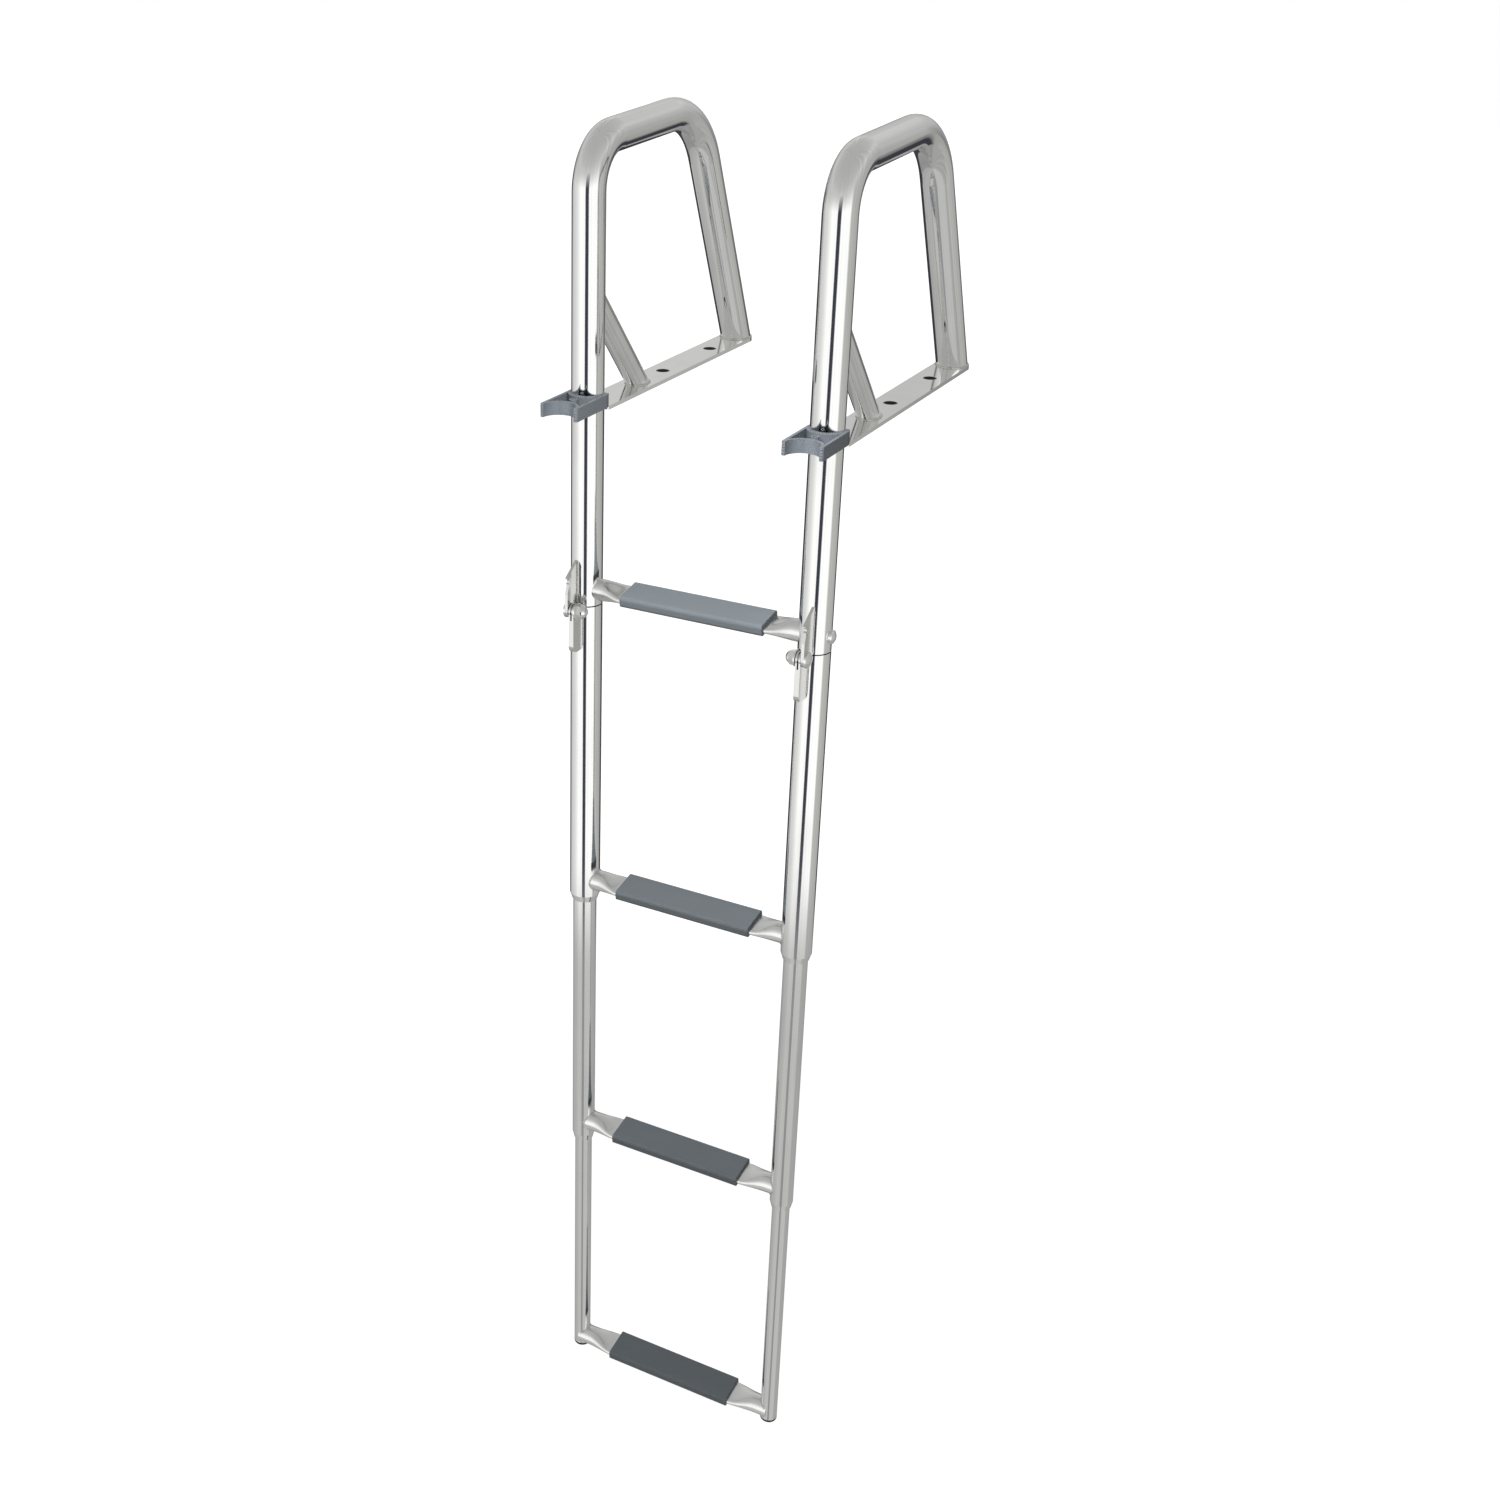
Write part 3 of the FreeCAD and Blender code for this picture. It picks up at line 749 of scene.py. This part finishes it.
@dataclass
class HingeWelds:
    """Weld beads where the hinge's cheek and tongue stand on their tubes."""

    rail: Rail
    bead: float = 0.0007
    short_of_end: float = 0.003
    steps: int = 30

    def weld(self, bracket: str, tube: str, body: Body) -> bpy.types.Object:
        """Make the beads along both sides of one bracket.

        Args:
            bracket: The bracket's name, without its side.
            tube: Name of the tube that it stands on, without its side.
            body: The body that carries both.

        Returns:
            The piece.
        """
        low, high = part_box(self.rail.side.named(bracket))
        tube_low, tube_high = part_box(self.rail.side.named(tube))
        bottom = max(low.z, tube_low.z) + self.short_of_end
        top = min(high.z, tube_high.z) - self.short_of_end
        mesh = bmesh.new()
        for x in (low.x - self.rail.x, high.x - self.rail.x):
            foot = self.rail.at(x, -math.sqrt(self.rail.radii[body] ** 2 - x ** 2), bottom)
            Bead(mesh, self.bead).run(
                lambda share: foot + Vector((0, 0, (top - bottom) * share)), self.steps, closed=False)
        return new_piece(self.rail.side.named(f"{bracket}_weld"), mesh, WELD, body)

    def build(self) -> list[bpy.types.Object]:
        """Make the beads of both brackets.

        Returns:
            One piece for each bracket.
        """
        return [self.weld("upper_hinge_bracket", "handle_tube", Body.FRAME),
                self.weld("lower_hinge_bracket", "fold_tube", Body.FOLD)]


@dataclass
class StepWelds:
    """Weld beads round both ends of one rung."""

    number: int
    body: Body
    rails: dict[Side, Rail]
    bead: float = 0.0010
    rung_radius: float = 0.011
    widest_on_rail: float = 0.97
    steps: int = 48

    def on_rail(self, side: Side, height: float, share: float) -> Vector:
        """A point where the rung's skin meets a rail.

        Args:
            side: The rail's side.
            height: Height of the rung's middle.
            share: How far round the rung, from 0 to 1.

        Returns:
            The point.
        """
        rail = self.rails[side]
        rail_radius = rail.radii[self.body]
        reach = min(self.rung_radius, rail_radius * self.widest_on_rail)
        angle = 2 * math.pi * share
        y = max(-reach, min(reach, self.rung_radius * math.cos(angle)))
        inwards = 1 if side is Side.LEFT else -1
        return rail.at(inwards * math.sqrt(rail_radius ** 2 - y ** 2), y,
                       height + self.rung_radius * math.sin(angle))

    def build(self) -> bpy.types.Object:
        """Make the beads of one rung.

        Returns:
            The piece.
        """
        middle, _ = centre_and_size(f"rung_{self.number}")
        mesh = bmesh.new()
        for side in self.rails:
            Bead(mesh, self.bead).run(lambda share: self.on_rail(side, middle.z, share), self.steps)
        return new_piece(f"rung_{self.number}_welds", mesh, WELD, self.body)


@dataclass
class ClipRibs:
    """Fine moulded ribs on the two tips of a clip's open jaw."""

    rail: Rail
    count: int = 4
    width: float = 0.00288
    depth: float = 0.0012
    thickness: float = 0.0007
    stand_out: float = 0.0003
    jaw_wall: float = 0.004
    rounding: float = 0.3

    def add_rib(self, mesh: bmesh.types.BMesh, middle: Vector) -> None:
        """Add one rib with rounded edges.

        Args:
            mesh: The mesh that takes it.
            middle: Its middle.
        """
        size = (self.width, self.depth, self.thickness)
        made = bmesh.ops.create_cube(mesh, size=1.0)
        for vertex in made["verts"]:
            vertex.co = Vector([m + c * s for m, c, s in zip(middle, vertex.co, size)])
        edges = {edge for vertex in made["verts"] for edge in vertex.link_edges}
        bmesh.ops.bevel(mesh, geom=list(edges), offset=min(size) * self.rounding, segments=2, affect="EDGES")

    def build(self) -> bpy.types.Object:
        """Make the ribs of one clip.

        Returns:
            The piece.
        """
        low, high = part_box(self.rail.side.named("double_clip"))
        mesh = bmesh.new()
        pitch = (high.z - low.z) / (self.count + 1)
        y = low.y - self.stand_out + self.depth / 2
        for x in (low.x + self.jaw_wall / 2, high.x - self.jaw_wall / 2):
            for i in range(self.count):
                self.add_rib(mesh, Vector((x, y, low.z + pitch * (i + 1))))
        return new_piece(self.rail.side.named("clip_ribs"), mesh, CLIP_GREY, Body.FRAME)


@dataclass(frozen=True)
class SoftLamp:
    """A soft round lamp that polished metal doesn't mirror."""

    name: str
    place: Point
    target: Point
    width: float
    watts: float

    def build(self) -> bpy.types.Object:
        """Hang the lamp.

        Returns:
            The lamp.
        """
        data = bpy.data.lights.new(self.name, "AREA")
        data.shape = "DISK"
        data.size = self.width
        data.energy = self.watts
        lamp = bpy.data.objects.new(self.name, data)
        lamp.location = self.place
        aim = Vector(self.target) - Vector(self.place)
        lamp.rotation_euler = aim.to_track_quat("-Z", "Y").to_euler()
        lamp.visible_glossy = False
        lamp.visible_camera = False
        bpy.context.scene.collection.objects.link(lamp)
        return lamp


def grey(level: float) -> Colour:
    """A neutral grey."""
    return (level, level, level)


DARK: Colour = (0.035, 0.037, 0.045)
BLUE_DARK: Colour = (0.05, 0.055, 0.08)
WHITE: Colour = grey(1.0)
FLOOR_GREY: Colour = grey(0.34)
# The walls' tones by the angle about +Z, in degrees, measured from -Y towards +X.
WALLS: list[tuple[float, Colour]] = [
    (-180, DARK), (-112, DARK), (-104, grey(0.45)), (-85, grey(0.6)), (-55, grey(0.72)), (-25, WHITE),
    (4, WHITE), (8, DARK), (27, BLUE_DARK), (31, WHITE), (85, WHITE), (93, (0.48, 0.48, 0.47)),
    (150, (0.38, 0.38, 0.37)), (160, (0.3, 0.3, 0.29)), (166, DARK), (180, DARK),
]
# The ceiling's tones by the sine of the height above the horizon.
CEILING: list[tuple[float, Colour]] = [
    (0.0, grey(0.38)), (0.3, grey(0.46)), (0.44, grey(0.54)), (0.6, grey(0.46)), (0.86, grey(0.41)),
    (1.0, grey(0.4)),
]


@dataclass
class Studio:
    """White background, floor, lamps and what the polished metal reflects."""

    floor_height: float
    floor_radius: float = 12.0
    floor_sides: int = 96
    floor_white: float = 0.9
    floor_glow: float = 1.16
    floor_share: float = 0.84
    shadow_reach: float = 0.4
    shadow_fade: float = 0.4
    ambient: float = 0.06
    ceiling_start: float = 0.02
    ceiling_gain: float = 2.4
    ceiling_behind: float = 0.3
    mirrored_floor_start: float = 0.49
    mirrored_floor_gain: float = 22.0
    mirrored_floor_most: float = 0.78
    streak_scale: float = 7.0
    streak_detail: float = 3.0
    streak_gain: float = 0.5
    room_strength: float = 1.02
    lamps: tuple[SoftLamp, ...] = (
        SoftLamp("key_softbox", (0.3, -0.6, 0.35), (0.12, -0.21, -0.6), width=0.5, watts=8.6),
        SoftLamp("fill_softbox", (-1.5, -0.8, 0.7), (0.12, -0.2, -0.3), width=1.2, watts=2.0),
        SoftLamp("front_softbox", (-0.45, -1.1, -0.05), (0.12, -0.24, -0.05), width=0.6, watts=5.0),
    )

    def paint_floor(self, graph: Graph) -> None:
        """White to the camera and to reflections, with some real shadow kept near the ladder's feet.

        Args:
            graph: The floor's graph.
        """
        path = graph.node("ShaderNodeLightPath")
        seen = (path + graph.output_of(path, "Is Glossy Ray")
                + graph.output_of(path, "Is Transmission Ray")).at_most(1.0)
        card = graph.node("ShaderNodeBsdfDiffuse", None, {"Color": (*grey(self.floor_white), 1.0)})
        white = graph.node("ShaderNodeEmission", None, {"Strength": self.floor_glow})
        away = graph.node("ShaderNodeVectorMath", {"operation": "LENGTH"}, {0: graph.place()}, output="Value")
        share = ((away - self.shadow_reach).at_least(0.0) * self.shadow_fade + self.floor_share).at_most(1.0)
        shader = graph.node("ShaderNodeMixShader", None, {0: seen * share, 1: card, 2: white})
        graph.end("ShaderNodeOutputMaterial", shader)

    def build_floor(self) -> bpy.types.Object:
        """A wide round floor at the ladder's feet.

        Returns:
            The floor.
        """
        mesh = bmesh.new()
        bmesh.ops.create_circle(mesh, cap_ends=True, segments=self.floor_sides, radius=self.floor_radius)
        data = bpy.data.meshes.new("floor")
        mesh.to_mesh(data)
        mesh.free()
        material = bpy.data.materials.new("pale_floor")
        material.use_nodes = True
        self.paint_floor(Graph(material.node_tree))
        data.materials.append(material)
        floor = bpy.data.objects.new("floor", data)
        floor.location.z = self.floor_height
        floor.visible_glossy = False
        bpy.context.scene.collection.objects.link(floor)
        return floor

    def paint_room(self, graph: Graph) -> Value:
        """The walls, the ceiling and the floor that polished metal mirrors.

        Args:
            graph: The world's graph.

        Returns:
            The room's light.
        """
        x, y, z = graph.parts(graph.node("ShaderNodeTexCoord", output="Generated"))
        turn = x.angle_from(y * -1.0)
        streak = graph.node("ShaderNodeTexNoise", {"noise_dimensions": "1D"},
                            {"W": turn, "Scale": self.streak_scale, "Detail": self.streak_detail})
        stops = [(angle / FULL_TURN_DEG + 0.5, tone) for angle, tone in WALLS]
        walls = graph.ramp(turn / (2 * math.pi) + 0.5, stops)
        behind = y.at_least(0.0) * self.ceiling_behind
        overhead = ((z + behind - self.ceiling_start) * self.ceiling_gain).clamped()
        below = (z * -1.0 - self.mirrored_floor_start) * self.mirrored_floor_gain
        below = below.at_least(0.0).at_most(self.mirrored_floor_most)
        room = graph.mix(overhead, graph.mix(below, walls, FLOOR_GREY), graph.ramp(z, CEILING))
        return graph.node("ShaderNodeBackground", None,
                          {"Color": room, "Strength": streak * self.streak_gain + self.room_strength})

    def build_world(self) -> None:
        """A white room to the camera, with the dark and grey flags of a studio in its reflections."""
        world = bpy.data.worlds.new("studio")
        bpy.context.scene.world = world
        world.use_nodes = True
        graph = Graph(world.node_tree)
        room = self.paint_room(graph)
        path = graph.node("ShaderNodeLightPath")
        seen = (path + graph.output_of(path, "Is Transmission Ray")).at_most(1.0)
        plain = graph.node("ShaderNodeBackground", None,
                           {"Color": (*WHITE, 1.0), "Strength": seen * (1 - self.ambient) + self.ambient})
        shader = graph.node("ShaderNodeMixShader", None,
                            {0: graph.output_of(path, "Is Glossy Ray"), 1: plain, 2: room})
        graph.end("ShaderNodeOutputWorld", shader)

    def build(self) -> list[bpy.types.Object]:
        """Make the floor, the world and the lamps.

        Returns:
            The floor and the lamps.
        """
        floor = self.build_floor()
        self.build_world()
        return [floor, *[lamp.build() for lamp in self.lamps]]


@dataclass
class PhotoCamera:
    """A camera at the photograph's place, angle and framing."""

    place: Point = (0.8705, -1.7552, 0.4911)
    turn: float = math.radians(30.25)
    tilt: float = math.radians(24.66)
    roll: float = math.radians(0.03)
    focal_px: float = 1899.4
    centre_px: tuple[float, float] = (560.0, 717.0)
    image_px: float = 1500.0
    sensor_mm: float = 36.0
    sight: float = 60.0

    def axes(self) -> Matrix:
        """The camera's axes.

        Returns:
            A matrix whose columns are its right, up and backward axes.
        """
        level = math.cos(self.tilt)
        forward = Vector((-math.sin(self.turn) * level, math.cos(self.turn) * level, -math.sin(self.tilt)))
        right = Vector((math.cos(self.turn), math.sin(self.turn), 0.0))
        down = forward.cross(right)
        rolled_right = right * math.cos(self.roll) + down * math.sin(self.roll)
        rolled_down = down * math.cos(self.roll) - right * math.sin(self.roll)
        return Matrix((rolled_right, -rolled_down, -forward)).transposed()

    def build(self) -> bpy.types.Object:
        """Make the camera and make it the scene's camera.

        Returns:
            The camera.
        """
        data = bpy.data.cameras.new("photo_camera")
        data.sensor_width = self.sensor_mm
        data.sensor_fit = "HORIZONTAL"
        data.lens = self.focal_px / self.image_px * self.sensor_mm
        data.shift_x = 0.5 - self.centre_px[0] / self.image_px
        data.shift_y = self.centre_px[1] / self.image_px - 0.5
        data.clip_end = self.sight
        camera = bpy.data.objects.new("photo_camera", data)
        camera.matrix_world = Matrix.Translation(self.place) @ self.axes().to_4x4()
        bpy.context.scene.collection.objects.link(camera)
        bpy.context.scene.camera = camera
        return camera


def main() -> None:
    """Dress the ladder, add its welds and ribs from the top down, then build the studio."""
    bpy.context.scene.view_settings.view_transform = "Standard"
    LOG.info("dressed %d CAD nodes", CadFinishes().dress())
    rails = {side: Rail(side) for side in Side}
    made = []
    for rail in rails.values():
        made += [HandleWelds(rail).build(), *HingeWelds(rail).build(), ClipRibs(rail).build()]
    for number, body in enumerate(Body, start=1):
        if body is not Body.FRAME:  # the frame's own rung is bolted, not welded
            made.append(StepWelds(number, body, rails).build())
    made += Studio(floor_height=CAD_LOW.z).build()
    made.append(PhotoCamera().build())
    for piece in made:
        LOG.info("made %s", piece.name)


if __name__ == "__main__":
    main()
